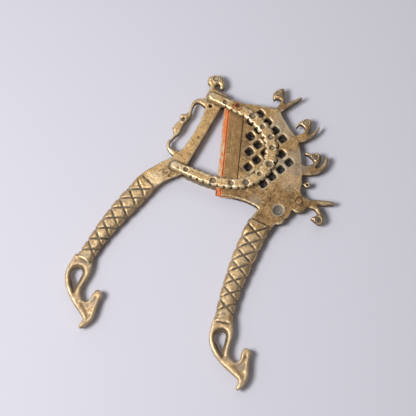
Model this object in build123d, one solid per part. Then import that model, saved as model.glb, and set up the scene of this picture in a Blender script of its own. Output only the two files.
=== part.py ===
"""Betel-nut cutter (sarota): a cast-brass bar lever and blade lever on one iron pivot.

Units are mm. Each lever is drawn shut: the pivot axis is the local origin, the cutting
line is parallel to local Y and the handles run towards -Y. Both are then turned about
the pivot to lie part open, as the cutter is kept. Z = 0 is the face that it rests on.
"""
from build123d import *
import math
import os

os.makedirs("parts", exist_ok=True)

# ---- pose ---------------------------------------------------------------------------
BAR_LEAN = 29.5        # the bar leans this far clockwise from +Y, degrees
OPENING = 23.8         # the blade lever stands open by this much, degrees
# ---- layers, from the resting face up -----------------------------------------------
GUARD_T = 3.0
BAR_T = 5.4
PLATE_PLAY = 0.2       # running gap between the plate and each guard
PLATE_T = BAR_T - 2 * PLATE_PLAY
MID = GUARD_T + BAR_T / 2
TOP = 2 * MID
GRIP_T = 7.2
GRIP_ROUND = 2.8       # corner radius of the grip's section
FINIAL_T = 5.0
# ---- cutting line -------------------------------------------------------------------
EDGE_OFFSET = 8.4      # bar's cutting side from the pivot axis
EDGE_GAP = 0.3         # left between blade and bar when shut
BLADE_EDGE = EDGE_OFFSET - EDGE_GAP
BLADE_BAND = 3.0       # steel that shows in front of the brass
TANG_T, TANG_DEPTH = 2.2, 8.0
BLADE_TOP, BLADE_END = -0.5, -56.3
TANG_TOP = BLADE_TOP - 5.5
# ---- pivot and rivets ---------------------------------------------------------------
PIVOT_R, PIVOT_PLAY = 1.6, 0.05
HEAD_R, HEAD_H = 1.9, 0.55
ROVE_R, ROVE_T, ROVE_PLAY = 2.6, 0.6, 0.05
GUARD_RIVET_R = 1.2
BLADE_RIVET_R = 0.8
BLADE_RIVETS = (-14.0, -31.0, -48.0)
# ---- guards -------------------------------------------------------------------------
GUARD_W = 6.6          # across the plain ends
GUARD_SWELL = 0.75     # added to each side at the bend
GUARD_RUN = [(-16.0, -1.9), (-8.0, -1.3), (1.0, -1.1), (10.0, -1.2), (19.0, -3.7), (26.0, -7.6),
             (31.2, -13.6), (33.8, -21.0), (33.6, -28.5), (30.8, -35.6), (26.0, -41.0),
             (19.0, -45.0), (9.0, -48.3), (-2.0, -49.9), (-14.4, -51.0)]
SCALLOP_R, SCALLOP_PITCH = 1.0, 4.1
# punched dimples: place and radius
GUARD_MARKS = [(-7.6, -1.5, 1.4), (11.1, -1.0, 1.9), (19.6, -4.0, 1.4), (27.2, -7.4, 1.9),
               (31.0, -12.8, 1.6), (34.8, -22.8, 2.1), (32.6, -31.0, 1.4), (28.0, -39.6, 1.9),
               (20.4, -44.5, 1.7), (10.2, -48.4, 1.9), (-7.4, -50.4, 1.4), (-12.0, -51.8, 0.8)]
RIVET_UP, RIVET_LOW = (-12.6, -1.5), (-12.4, -50.8)
# ---- lattice (jali) -----------------------------------------------------------------
JALI_AT = (14.3, -2.9)
JALI_A, JALI_B = (4.97, -4.75), (-4.8, -4.95)
JALI_SIDE, JALI_CORNER, JALI_TAPER = 4.7, 1.3, 6
JALI_ROWS = {0: (0, 2), 1: (0, 3), 2: (0, 4), 3: (0, 5), 4: (1, 5), 5: (1, 5)}


# ---- drawing helpers ----------------------------------------------------------------
def run(points):
    """A line through 2 points, an arc through 3, a smooth curve through more."""
    if len(points) == 2:
        return Line(*points)
    if len(points) == 3:
        return ThreePointArc(*points)
    return Spline(*points)


def outline(*stretches):
    """Closed face from stretches; each ends where the next one starts."""
    edges = []
    for k, points in enumerate(stretches):
        end = stretches[(k + 1) % len(stretches)][0]
        edges.append(run(points if points[-1] == end else points + [end]))
    return Face(Wire(edges))


def slab(face, thick, mid=MID):
    """The face as a plate about the mid height."""
    return Pos(0, 0, mid - thick / 2) * extrude(face, amount=thick, dir=(0, 0, 1))


def drill(x, y, radius, low=-1.0, high=TOP + 1):
    return Pos(x, y, (low + high) / 2) * Cylinder(radius, high - low)


def dimple(x, y, radius, depth, face, up=1):
    """Punched conical mark with a flat floor, in a face that looks up or down."""
    cone = Cone(radius * 0.55, radius, depth)
    turn = Rot(0, 0, 0) if up > 0 else Rot(180, 0, 0)
    return Pos(x, y, face - up * depth / 2) * turn * cone


def marks(spots, depth, thick):
    """The same dimples in both faces of a plate about the mid height."""
    cut = []
    for x, y, r in spots:
        cut += [dimple(x, y, r, depth, MID + thick / 2), dimple(x, y, r, depth, MID - thick / 2, -1)]
    return cut


# ---- guards -------------------------------------------------------------------------
def guard_half(share):
    """Half the guard's width a share of the way along it, broadest round the bend."""
    return GUARD_W / 2 + GUARD_SWELL * math.exp(-((share - 0.42) / 0.2) ** 2)


def guard_side(path, side, steps=24):
    """Points along one edge of the guard."""
    row = []
    for k in range(steps + 1):
        at, along = path.position_at(k / steps), path.tangent_at(k / steps)
        reach = side * guard_half(k / steps)
        row.append((at.X - along.Y * reach, at.Y + along.X * reach))
    return row


def scallops(path, low, high):
    """Filed notches along both edges, none on the plain ends."""
    cuts = []
    plain = 10.0
    count = int((path.length - 2 * plain) / SCALLOP_PITCH)
    for k in range(count + 1):
        s = plain + k * SCALLOP_PITCH
        at, along = path.position_at(s / path.length), path.tangent_at(s / path.length)
        for side in (-1, 1):
            reach = side * (guard_half(s / path.length) + 0.35)
            x, y = at.X - along.Y * reach, at.Y + along.X * reach
            cuts.append(drill(x, y, SCALLOP_R, low, high))
    return cuts


def guard(base, outside):
    """One horseshoe; outside is +1 where its outer face looks up, -1 where down."""
    path = Wire([Spline(*GUARD_RUN)])
    left, right = guard_side(path, 1), guard_side(path, -1)
    caps = []
    for share, way in ((0, -1), (1, 1)):
        at, along = path.position_at(share), path.tangent_at(share)
        reach = way * guard_half(share)
        caps.append((at.X + along.X * reach, at.Y + along.Y * reach))
    band = outline(left, [left[-1], caps[1]], right[::-1], [right[0], caps[0]])
    body = extrude(Pos(0, 0, base) * band, amount=GUARD_T, dir=(0, 0, 1))
    face = base + GUARD_T if outside > 0 else base
    body = chamfer([e for e in body.edges() if abs(e.center().Z - face) < 1e-3], 1.0)
    cuts = scallops(path, base - 1, base + GUARD_T + 1)
    cuts += [dimple(x, y, radius, 1.1, face, outside) for x, y, radius in GUARD_MARKS]
    cuts.append(drill(0, 0, PIVOT_R + PIVOT_PLAY))
    cuts.append(Pos(0, 0, face - outside * ROVE_T / 2) * Cylinder(ROVE_R + ROVE_PLAY, ROVE_T))
    cuts += [drill(*RIVET_UP, GUARD_RIVET_R), drill(*RIVET_LOW, GUARD_RIVET_R)]
    return body - cuts


# ---- handles ------------------------------------------------------------------------
def grip(stations, crossings, lean, girth=0.65):
    """Rounded grip; two sets of grooves that wrap round it leave raised diamonds."""
    def barrel(cut):
        rings = []
        for k, (x, y, wide) in enumerate(stations):
            x0, y0, _ = stations[max(k - 1, 0)]
            x1, y1, _ = stations[min(k + 1, len(stations) - 1)]
            across = Plane(origin=(x, y, MID), x_dir=(y0 - y1, x1 - x0, 0), z_dir=(x1 - x0, y1 - y0, 0))
            rings.append(across * RectangleRounded(wide - 2 * cut, GRIP_T - 2 * cut, GRIP_ROUND - cut))
        return loft(rings)
    saws = []
    for x, y in crossings:
        for angle in (lean - 28, lean + 38):
            saws.append(Pos(x, y, MID) * Rot(0, 0, angle) * Box(40, 1.1, GRIP_T + 2))
    return (barrel(0) - saws) + barrel(girth)


def finial():
    """Openwork bird that ends each handle; its neck joins the grip at the origin."""
    back = [(-5.8, 2.0), (-7.2, -4.5), (-7.7, -10.0), (-5.2, -17.5), (0.5, -24.5), (7.5, -30.0)]
    tail = [(12.0, -33.5), (11.6, -36.2), (10.8, -38.6)]
    breast = [(12.2, -39.7), (15.7, -36.2), (17.6, -30.4), (17.3, -22.8)]
    crest = [(18.2, -17.5), (16.8, -15.0), (14.4, -14.2), (12.5, -17.0)]
    throat = [(12.0, -21.0), (9.6, -23.3), (6.6, -21.8), (5.0, -15.0), (6.4, -8.0), (6.0, -1.5)]
    body = outline(back, tail, [tail[-1]], breast, crest, throat, [(5.2, 2.0)])
    loop = outline([(2.0, -22.0), (-0.8, -18.6), (-3.6, -14.0), (-4.8, -9.2), (-3.4, -5.6)],
                   [(-0.6, -4.4), (2.6, -6.0), (3.3, -10.0), (2.4, -15.6)])
    panel = outline([(6.4, -24.8), (9.6, -27.6), (13.2, -31.4)], [(14.2, -34.2)],
                    [(16.0, -29.4), (15.6, -22.8), (15.2, -18.2)],
                    [(13.8, -19.0), (12.9, -22.4), (9.8, -25.0)])
    shape = slab(body, FINIAL_T) - slab(loop, FINIAL_T + 2)
    sunk = 0.5
    for side in (-1, 1):
        shape -= slab(panel, sunk, MID + side * (FINIAL_T / 2 - sunk / 2))
    return shape


# ---- bar lever ----------------------------------------------------------------------
def bar_head():
    """Bird's head on the top of the bar, its crest curling back down."""
    skull = outline([(-20.6, -4.0), (-20.5, 0.5), (-21.2, 3.6)], [(-23.6, 5.0), (-25.2, 8.0)],
                    [(-25.2, 8.0), (-22.4, 11.6), (-19.4, 12.8), (-15.6, 11.2), (-13.2, 7.6)],
                    [(-13.6, 5.6), (-15.0, 5.4)], [(-16.2, 7.4), (-17.8, 6.8)],
                    [(-17.2, 4.0), (-17.0, -4.0)])
    return slab(skull, BAR_T)


def bracket():
    """Openwork loop on the outer side of the bar, with an eyed boss and a knob."""
    outer = outline([(-16.0, -2.5), (-20.4, -4.6), (-24.6, -7.4), (-25.6, -11.0), (-24.8, -17.0)],
                    [(-27.6, -20.6), (-26.9, -26.6)], [(-28.6, -30.4), (-25.6, -33.2)],
                    [(-26.6, -38.5), (-25.6, -42.4), (-21.5, -45.2), (-16.0, -46.0)], [(-14.0, -46.0)],
                    [(-14.0, -2.5)])
    inner = outline([(-15.0, -10.5), (-18.5, -9.2), (-22.8, -9.4), (-23.5, -12.6), (-21.9, -19.0),
                     (-22.9, -25.4), (-22.4, -31.0), (-24.4, -37.5), (-23.6, -41.4), (-19.5, -42.0)],
                    [(-15.0, -38.5)])
    return slab(outer, BAR_T - 0.6) - slab(inner, BAR_T + 2)


def bar_lever():
    body = slab(bar_face(), BAR_T)
    spine = [(-24.0, -67.5, 12.4), (-27.0, -80.0, 13.2), (-30.2, -95.6, 12.1), (-32.2, -110.5, 10.4),
             (-33.1, -128.2, 10.0)]
    cross = [(-24.8, -73.6), (-26.6, -80.9), (-28.6, -88.8), (-29.9, -96.8), (-31.0, -104.7),
             (-31.6, -112.4), (-32.2, -120.2)]
    body += grip(spine, cross, -9)
    body += bar_head() + bracket()
    body += Pos(-33.1, -127.6, 0) * Rot(0, 0, 10) * finial()
    cuts = marks(((-20.2, 9.8, 1.8), (-25.2, -22.6, 1.5), (-27.0, -30.0, 0.7)), 1.3, BAR_T)
    cuts += [drill(-14.6, -7.4, 1.0), drill(*RIVET_UP, GUARD_RIVET_R), drill(*RIVET_LOW, GUARD_RIVET_R)]
    return body - cuts


def bar_face():
    """Anvil bar with the plain shoulder that runs into the grip."""
    return outline([(-EDGE_OFFSET, 3.8)],
                   [(-EDGE_OFFSET, -53.6), (-11.6, -57.6), (-16.0, -64.0), (-19.2, -73.0)],
                   [(-19.4, -74.0)],
                   [(-31.8, -72.0), (-28.0, -61.0), (-22.0, -51.0), (-17.0, -42.0), (-15.3, -31.0),
                    (-15.4, -19.0)],
                   [(-17.2, -9.0)], [(-17.2, 3.6)])


# ---- blade lever --------------------------------------------------------------------
def plate_face():
    """Sector plate: rim, scalloped lobes and the root of the handle."""
    left = -BLADE_EDGE + BLADE_BAND
    return outline([(left, 3.4)], [(left, -56.6), (4.0, -57.2), (12.0, -59.0), (18.4, -62.0)],
                   [(18.4, -62.0), (16.0, -65.8), (13.0, -72.0)], [(13.0, -72.0)],
                   [(26.8, -75.0), (28.2, -72.6), (29.6, -70.8)],
                   [(29.6, -70.8), (32.6, -70.6), (34.8, -67.2)],
                   [(34.8, -67.2), (37.6, -64.8), (38.4, -60.6)],
                   [(38.4, -60.6), (43.0, -62.6), (46.6, -60.0)],
                   [(46.6, -60.0), (48.8, -56.0)], [(48.8, -53.4), (45.0, -51.6), (43.0, -49.2)],
                   [(43.0, -49.2), (43.2, -42.0), (41.5, -27.5), (38.8, -18.0), (33.4, -10.4), (27.0, -0.6)],
                   [(27.0, -0.6), (23.0, 2.2)], [(23.0, 2.2), (11.0, 3.0)])


def peacocks():
    """Four birds that stand round the rim, each with a crested head and a spike of a tail."""
    one = outline([(21.5, 0.0), (25.4, 5.0), (25.8, 7.4), (24.2, 8.0)], [(21.8, 6.2)],
                  [(21.2, 8.2), (21.6, 12.4), (23.8, 14.4), (27.6, 15.6)],
                  [(27.6, 15.6), (28.2, 11.0), (28.6, 5.6)], [(28.6, 5.6)],
                  [(37.6, 10.7), (38.9, 10.3), (38.5, 9.2)], [(38.5, 9.2)], [(26.0, -1.0)])
    two = outline([(35.0, -13.8), (39.6, -12.9), (42.0, -9.6), (40.4, -7.4)], [(39.2, -6.9)], [(36.8, -9.4)],
                  [(36.5, -8.3), (39.6, -4.4), (43.0, -2.7), (46.1, -4.2)],
                  [(46.1, -4.2), (45.9, -8.4), (44.4, -12.8)], [(44.4, -12.8), (48.1, -10.2), (51.1, -6.3)],
                  [(51.1, -6.3), (49.8, -11.4), (44.8, -16.2), (38.0, -18.8)])
    three = outline([(41.0, -31.6), (45.4, -32.2), (49.2, -30.0), (47.6, -27.6)], [(43.4, -25.8)],
                    [(43.6, -24.4), (45.4, -23.9), (47.2, -24.6)],
                    [(49.8, -23.5), (53.2, -25.2), (53.8, -28.0)],
                    [(53.8, -28.0), (52.2, -30.8), (50.4, -33.8)],
                    [(50.4, -33.8), (54.2, -30.8), (55.6, -25.6)],
                    [(55.6, -25.6), (57.6, -26.0)],
                    [(57.6, -26.0), (57.2, -31.6), (53.4, -36.4), (46.8, -38.6), (41.6, -38.4)])
    four = outline([(46.5, -53.6), (53.0, -53.1), (62.6, -53.3)],
                   [(62.6, -53.3), (63.5, -54.4), (61.8, -55.8)],
                   [(61.8, -55.8), (57.6, -56.4), (53.5, -56.1)],
                   [(53.5, -56.1), (56.2, -60.2), (58.4, -65.2)],
                   [(58.4, -65.2), (57.6, -67.6), (55.2, -68.9)], [(55.2, -68.9)], [(50.0, -65.3)],
                   [(50.7, -64.2)], [(53.6, -62.8)], [(53.8, -61.8), (52.4, -60.0), (50.2, -59.0)],
                   [(46.0, -58.4)])
    return [slab(f, PLATE_T - 0.4) for f in (one, two, three, four)]


def jali():
    """Diamond lattice of square holes that narrow a little towards the back."""
    tool = RectangleRounded(JALI_SIDE, JALI_SIDE, JALI_CORNER)
    cuts = []
    for i, (first, stop) in JALI_ROWS.items():
        for j in range(first, stop):
            x = JALI_AT[0] + i * JALI_A[0] + j * JALI_B[0]
            y = JALI_AT[1] + i * JALI_A[1] + j * JALI_B[1]
            hole = extrude(tool, amount=-PLATE_T - 0.4, taper=JALI_TAPER)
            cuts.append(Pos(x, y, MID + PLATE_T / 2 + 0.2) * Rot(0, 0, 45) * hole)
    return cuts


def blade_lever():
    top = MID + PLATE_T / 2
    body = slab(plate_face(), PLATE_T)
    spine = [(20.4, -71.0, 14.8), (14.8, -86.0, 14.3), (9.9, -102.0, 12.9), (6.0, -118.5, 11.2),
             (4.3, -133.2, 11.6)]
    cross = [(17.9, -76.8), (15.2, -84.2), (12.5, -91.8), (10.2, -99.6), (8.6, -107.5), (6.8, -115.6),
             (5.2, -123.8)]
    body += grip(spine, cross, -15)
    body += peacocks()
    body += [slab(Pos(46.6, -44.4) * Circle(2.0), PLATE_T - 1.2),
             Pos(44.0, -44.2, MID) * Box(4.0, 1.4, PLATE_T - 1.2)]
    body += Pos(4.3, -132.4, 0) * finial()
    cuts = jali()
    cuts += marks(((24.3, 11.6, 1.6), (42.6, -5.6, 1.7), (49.8, -26.6, 1.8), (46.2, -26.2, 0.6),
                   (54.8, -65.6, 1.8)), 1.3, PLATE_T - 0.4)
    cuts += [drill(46.6, -44.4, 0.6), drill(0, 0, PIVOT_R + PIVOT_PLAY)]
    cuts.append(dimple(30.3, -62.0, 3.5, 1.8, top))
    cuts.append(Pos(42.7, -55.2, top) * (Cylinder(2.3, 0.5) - Cylinder(1.9, 0.6)))
    cuts.append(Pos(4.4, -24.5, top) * Box(0.45, 43.0, 0.6))
    tang_x = -BLADE_EDGE + BLADE_BAND + TANG_DEPTH / 2
    cuts.append(Pos(tang_x - 0.5, (TANG_TOP - 60) / 2, MID) * Box(TANG_DEPTH + 1, TANG_TOP + 60, TANG_T))
    cuts += [drill(tang_x, y, BLADE_RIVET_R) for y in BLADE_RIVETS]
    body -= cuts
    return max(body.solids(), key=lambda s: s.volume)     # chips left between two grooves fall away


# ---- steel and small pieces ---------------------------------------------------------
def cutting_blade():
    """Steel blade: a bevelled band in front of the brass and a tang let into its slot."""
    edge, seat = -BLADE_EDGE, -BLADE_EDGE + BLADE_BAND
    thick, keen = PLATE_T / 2 - 0.15, 0.5
    band = Polyline((edge, MID - keen), (edge, MID + keen), (seat, MID + thick), (seat, MID - thick),
                    close=True)
    front = extrude(Plane.XZ * make_face(band), amount=BLADE_TOP - BLADE_END, dir=(0, -1, 0))
    front = Pos(0, BLADE_TOP, 0) * front
    tang = Pos(seat + TANG_DEPTH / 2 - 0.1, (TANG_TOP + BLADE_END) / 2, MID) \
        * Box(TANG_DEPTH + 0.2, TANG_TOP - BLADE_END, TANG_T)
    holes = [drill(seat + TANG_DEPTH / 2, y, BLADE_RIVET_R) for y in BLADE_RIVETS]
    return front + tang - holes


def pivot_rivet():
    """Iron pivot: domed head on the front rove, tail filed flush with the back one."""
    low, high = 0.0, TOP
    pin = Pos(0, 0, (low + high) / 2) * Cylinder(PIVOT_R, high - low)
    dome = Pos(0, 0, high) * Cylinder(HEAD_R, HEAD_H * 2)
    dome = fillet(dome.edges().sort_by(Axis.Z)[-1], HEAD_H * 0.9)
    head = dome & (Pos(0, 0, high + 5) * Box(20, 20, 10))
    return pin + head


def rove(base):
    return Pos(0, 0, base + ROVE_T / 2) * (Cylinder(ROVE_R, ROVE_T) - Cylinder(PIVOT_R, ROVE_T + 1))


def guard_rivet(spot):
    low, high = 0.05, TOP - 0.05
    return Pos(*spot, (low + high) / 2) * Cylinder(GUARD_RIVET_R, high - low)


def blade_rivet(y):
    x = -BLADE_EDGE + BLADE_BAND + TANG_DEPTH / 2
    return Pos(x, y, MID) * Cylinder(BLADE_RIVET_R, PLATE_T - 0.1)


# ---- pose and export ----------------------------------------------------------------
def main():
    bar_turn, blade_turn = Rot(0, 0, -BAR_LEAN), Rot(0, 0, OPENING - BAR_LEAN)
    on_bar = {
        "bar_lever": bar_lever(),
        "front_guard": guard(TOP - GUARD_T, 1),
        "back_guard": guard(0, -1),
        "pivot_rivet": pivot_rivet(),
        "pivot_rove_front": rove(TOP - ROVE_T),
        "pivot_rove_back": rove(0),
        "guard_rivet_upper": guard_rivet(RIVET_UP),
        "guard_rivet_lower": guard_rivet(RIVET_LOW),
    }
    on_blade = {"blade_lever": blade_lever(), "cutting_blade": cutting_blade()}
    for name, y in zip(("upper", "middle", "lower"), BLADE_RIVETS):
        on_blade["blade_rivet_" + name] = blade_rivet(y)
    for turn, pieces in ((bar_turn, on_bar), (blade_turn, on_blade)):
        for name, piece in pieces.items():
            solids = (turn * piece).solids()
            print(name, len(solids), "solid(s)", round(sum(s.volume for s in solids)), "mm3")
            export_step(Compound(solids) if len(solids) > 1 else solids[0], f"parts/{name}.step")


main()
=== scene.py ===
"""Betel-nut cutter in worn cast brass, laid out as a Blender add-on and run as a script.

Lengths are in metres. The pivot's axis is the origin, +Y points away from the camera and the floor
is Z = 0.
Places on a lever are in mm in the lever's own directions, x across it and y along it, measured from
the pivot with y falling towards the grip.
"""
import math

import bmesh
import bpy
import numpy as np
from bpy.props import FloatProperty, FloatVectorProperty, PointerProperty
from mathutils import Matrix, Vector
from mathutils.kdtree import KDTree


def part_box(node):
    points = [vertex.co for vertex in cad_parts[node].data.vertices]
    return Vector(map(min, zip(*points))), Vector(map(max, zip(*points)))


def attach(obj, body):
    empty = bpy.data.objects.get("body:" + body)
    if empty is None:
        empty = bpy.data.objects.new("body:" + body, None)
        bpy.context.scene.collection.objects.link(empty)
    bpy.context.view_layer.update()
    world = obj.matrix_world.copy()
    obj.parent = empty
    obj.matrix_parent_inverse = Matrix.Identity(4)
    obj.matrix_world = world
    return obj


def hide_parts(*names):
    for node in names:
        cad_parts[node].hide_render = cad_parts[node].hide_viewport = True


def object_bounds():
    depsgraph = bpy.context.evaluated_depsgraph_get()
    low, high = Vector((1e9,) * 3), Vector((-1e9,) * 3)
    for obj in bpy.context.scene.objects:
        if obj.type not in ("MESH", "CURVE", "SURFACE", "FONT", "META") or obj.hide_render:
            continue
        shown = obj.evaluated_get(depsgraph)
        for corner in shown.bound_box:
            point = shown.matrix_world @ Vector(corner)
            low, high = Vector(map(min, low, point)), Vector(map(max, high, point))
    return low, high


bl_info = {
    "name": "Brass Betel-Nut Cutter",
    "version": (1, 0, 0),
    "blender": (4, 5, 0),
    "location": "3D View > Sidebar > Nut Cutter",
    "description": "Dresses a cast-brass betel-nut cutter and sets its stage",
    "category": "Object",
}

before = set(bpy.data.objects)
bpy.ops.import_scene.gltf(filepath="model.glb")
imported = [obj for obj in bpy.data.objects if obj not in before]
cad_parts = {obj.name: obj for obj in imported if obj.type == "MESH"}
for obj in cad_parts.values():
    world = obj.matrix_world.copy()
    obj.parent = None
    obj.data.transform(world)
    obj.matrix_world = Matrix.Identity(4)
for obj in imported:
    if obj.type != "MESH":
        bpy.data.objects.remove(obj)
CAD_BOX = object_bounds()
BAR, BLADE = "bar_side", "blade_side"
GUARD_PINS = ("guard_rivet_upper", "guard_rivet_lower")
BLADE_PINS = ("blade_rivet_upper", "blade_rivet_middle", "blade_rivet_lower")
MM = 0.001
MID = sum(c.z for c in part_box("bar_lever")) / 2
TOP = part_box("front_guard")[1].z
# gap kept inside the solids' box, mesh spacing of the small iron parts, and what a pin is filed down by
HAIR, IRON_GRAIN, PIN_FILED = 0.02 * MM, 0.14 * MM, 1.2 * MM


def tone(red, green, blue):
    """Linear colour from the 0 to 255 values of a paint chart."""
    chart = [c / 255 for c in (red, green, blue)]
    return tuple(c / 12.92 if c <= 0.04045 else ((c + 0.055) / 1.055) ** 2.4 for c in chart)


RUST_FILM, RUST_ON_GUARD = tone(226, 128, 74), tone(158, 88, 48)
HEAD_RUST, ROVE_RUST = tone(170, 104, 62), tone(184, 120, 68)
BARE_STEEL = tone(214, 196, 158)

# middle line of a guard; its half width, what that gains at the bend, and the length of its plain
# ends; the pitch of its filed notches and their widths on the face and down the sides; its punched
# marks with their radius, and the radius of a mark of full depth
GUARD_RUN = [(-16.0, -1.9), (-8.0, -1.3), (1.0, -1.1), (10.0, -1.2), (19.0, -3.7), (26.0, -7.6),
             (31.2, -13.6), (33.8, -21.0), (33.6, -28.5), (30.8, -35.6), (26.0, -41.0),
             (19.0, -45.0), (9.0, -48.3), (-2.0, -49.9), (-14.4, -51.0)]
GUARD_HALF, GUARD_SWELL, PLAIN_END = 3.3, 0.75, 10.0
NOTCH_PITCH, NOTCH_FACE, NOTCH_SIDE = 4.1, 0.50, 0.48
GUARD_MARKS = [(-7.6, -1.5, 1.4), (11.1, -1.0, 1.9), (19.6, -4.0, 1.4), (27.2, -7.4, 1.9),
               (31.0, -12.8, 1.6), (34.8, -22.8, 2.1), (32.6, -31.0, 1.4), (28.0, -39.6, 1.9),
               (20.4, -44.5, 1.7), (10.2, -48.4, 1.9), (-7.4, -50.4, 1.4), (-12.0, -51.8, 0.8)]
FULL_MARK = 1.9

# middle lines of the grips, half their width and what it loses down the grip; how far down the lever
# a grip begins and ends; the necks of the end birds
BAR_GRIP = [(-24.0, -67.5), (-27.0, -80.0), (-30.2, -95.6), (-32.2, -110.5), (-33.1, -128.2)]
BLADE_GRIP = [(20.4, -71.0), (14.8, -86.0), (9.9, -102.0), (6.0, -118.5), (4.3, -133.2)]
BAR_GRIP_WIDE, BLADE_GRIP_WIDE = (6.4, 1.4), (7.2, 1.5)
BAR_GRIP_ROOT, BAR_JOINT, BAR_NECK = 70, 126.5, (-33.1, -127.6)
BLADE_GRIP_ROOT, BLADE_JOINT, BLADE_NECK = 76, 130.5, (4.3, -132.4)

# lattice of the plate: the first hole, the steps to the next row and to the next hole of a row, and
# for each row its first hole and the one after its last; half a hole, and a distance beyond them all
LATTICE_AT, LATTICE_A, LATTICE_B = (14.3, -2.9), (4.97, -4.75), (-4.8, -4.95)
LATTICE_ROWS = {0: (0, 2), 1: (0, 3), 2: (0, 4), 3: (0, 5), 4: (1, 5), 5: (1, 5)}
HOLE_HALF, NO_HOLE = 2.35, 99

# eyes of the birds and the bracket: place, and radius in the lists
BRACKET_BOSS = (-25.2, -22.6)
BAR_HEAD_EYE = (-20.2, 9.8)
BAR_EYES = [(*BAR_HEAD_EYE, 1.8), (*BRACKET_BOSS, 1.6), (-27.0, -30.0, 0.5)]
TOP_EYE, SECOND_EYE, THIRD_EYE, LOWEST_EYE = (24.3, 11.6), (42.6, -5.6), (49.8, -26.6), (54.8, -65.6)
BLADE_EYES = [(*TOP_EYE, 1.6), (*SECOND_EYE, 1.7), (*THIRD_EYE, 1.8), (46.2, -26.2, 0.6),
              (*LOWEST_EYE, 1.8)]
# middle of the round recess at the foot of the plate
ROUND_RECESS = (30.3, -62.0)

# filed strip beside the blade: its two sides and ends, and where the line scribed along it runs
STRIP_SIDES, STRIP_ENDS = (-5.2, 4.2), (-56, -1.5)
LINE_SIDES, LINE_ENDS = (4.20, 4.55), (-46, -2)
# scribed ring: its middle, its height above the lever's middle, and its two edges
RING_AT, RING_RAISED, RING_CUT = (42.7, -55.2), 2.5, (1.8, 2.3)

# soft patches on the bar: place, radius and strength
BAR_STAMP = (-16.1, -56.5, 5.2, 1.0)
# the first patch is painted shade in the bracket boss's eye; the second is a dark spot on the bar
BAR_MARKS = [(*BRACKET_BOSS, 1.5, 0.9), (-11.3, -28.4, 1.3, 0.8)]
# painted highlight with some rubbing on the bar's shoulder, laid as rubbed and handled brass
SHOULDER_HIGHLIGHT_AND_RUB, SHOULDER_HANDLED_AND_HIGHLIGHT = (-20.5, -64.5, 7.5, 0.45), (-19.5, -63.0, 6.0, 0.4)
BAR_FILM = [(-15.5, -50.5, 6.0, 0.45), (-18.0, -56.0, 4.0, 0.2), (-20.5, -3.5, 5.5, 0.5),
            (*BAR_HEAD_EYE, 2.2, 0.9), (-33.0, -127.0, 6.0, 0.35), (-15.0, -148.0, 5.0, 0.6)]
KNOB_ABOVE, KNOB_BELOW = (-27.0, -26.8, 2.2, 1.0), (-26.6, -32.6, 1.8, 0.7)

# soft patches on the blade's lever
STAMP_AT = (2.8, -128.9)
BLADE_STAMP = (*STAMP_AT, 3.6, 0.7)
RECESS_SCORES, RECESS_SPARED = (*ROUND_RECESS, 3.6, 0.6), (*ROUND_RECESS, 4.6, 0.35)
# painted shade in the sockets of the two lower peacock eyes
SHADED_EYES = [(*THIRD_EYE, 1.7, 0.6), (*LOWEST_EYE, 1.7, 0.75)]
PLATE_FOOT = (8.0, -62.0, 14.0, 1.0)
PLATE_SHELTER = [(27.0, -38.0, 12.0, 1.0), (34.5, -29.5, 7.0, 1.0), (18.0, -47.0, 8.0, 0.9),
                 (10.0, -40.0, 6.0, 0.5), (8.0, -26.0, 7.0, 0.4), (33.0, -12.0, 8.0, 0.5)]
PLATE_FILM = [(38.0, -32.0, 11.0, 0.45), (30.0, -8.0, 12.0, 0.45), (36.0, -44.0, 8.0, 0.3),
              (*ROUND_RECESS, 4.4, 1.2), (16.0, -57.5, 5.0, 0.35), (*STAMP_AT, 4.5, 0.35),
              (*TOP_EYE, 1.9, 0.5), (*SECOND_EYE, 1.9, 0.4), (17.0, -158.0, 5.0, 0.5)]

# soft patches on a guard
# painted highlight with some rubbing on the guard's end lobes
GUARD_END_HIGHLIGHT_AND_RUB = [(*GUARD_RUN[0], 7.0, 0.32), (*GUARD_RUN[-1], 7.0, 0.45)]
GUARD_FILM = (-16.0, -51.0, 3.6, 0.4)


# ---- what a user would change -------------------------------------------------------
def paint(name, description, default):
    """A colour setting."""
    return FloatVectorProperty(name=name, description=description, subtype="COLOR", size=3, min=0, max=1,
                               default=default)


class CutterMetal(bpy.types.PropertyGroup):
    """Colours and wear of the brass, the steel and the iron."""

    bar_lean: FloatProperty(name="Bar lean", description="How far the bar leans clockwise from +Y",
                            default=math.radians(29.5), unit="ROTATION", subtype="ANGLE")
    blade_lean: FloatProperty(name="Blade lean", description="How far the blade leans clockwise from +Y",
                              default=math.radians(5.7), unit="ROTATION", subtype="ANGLE")
    grain: FloatProperty(name="Surface grid", description="Mesh spacing of the cast surfaces",
                         default=0.32 * MM, unit="LENGTH", subtype="DISTANCE")
    unevenness: FloatProperty(name="Unevenness", description="Height of the casting's lumps",
                              default=0.11 * MM, unit="LENGTH", subtype="DISTANCE")
    brass: paint("Brass", "Handled brass", tone(221, 181, 124))
    # this bright colour also lays painted highlight on the bar's shoulder and the guard's end lobes
    worn: paint("Worn brass", "Brass rubbed bright on the arrises", tone(252, 234, 196))
    dull: paint("Dull brass", "Brass that is seldom touched", tone(162, 127, 85))
    # this dark colour also lays painted shade on walls, in the lattice holes and inside the end birds' loops
    dirt: paint("Dirt", "Black-brown dirt in cuts and corners", tone(38, 31, 27))
    patina: paint("Patina", "Grey-green film in sheltered places", tone(174, 168, 156))
    rust: paint("Rust", "Fresh orange rust on the blade", tone(240, 138, 74))
    # this dark colour also lays painted shadow of the guard at the foot of the blade's edge
    scale: paint("Scale", "Dark scale on steel and iron", tone(74, 48, 38))


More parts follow.
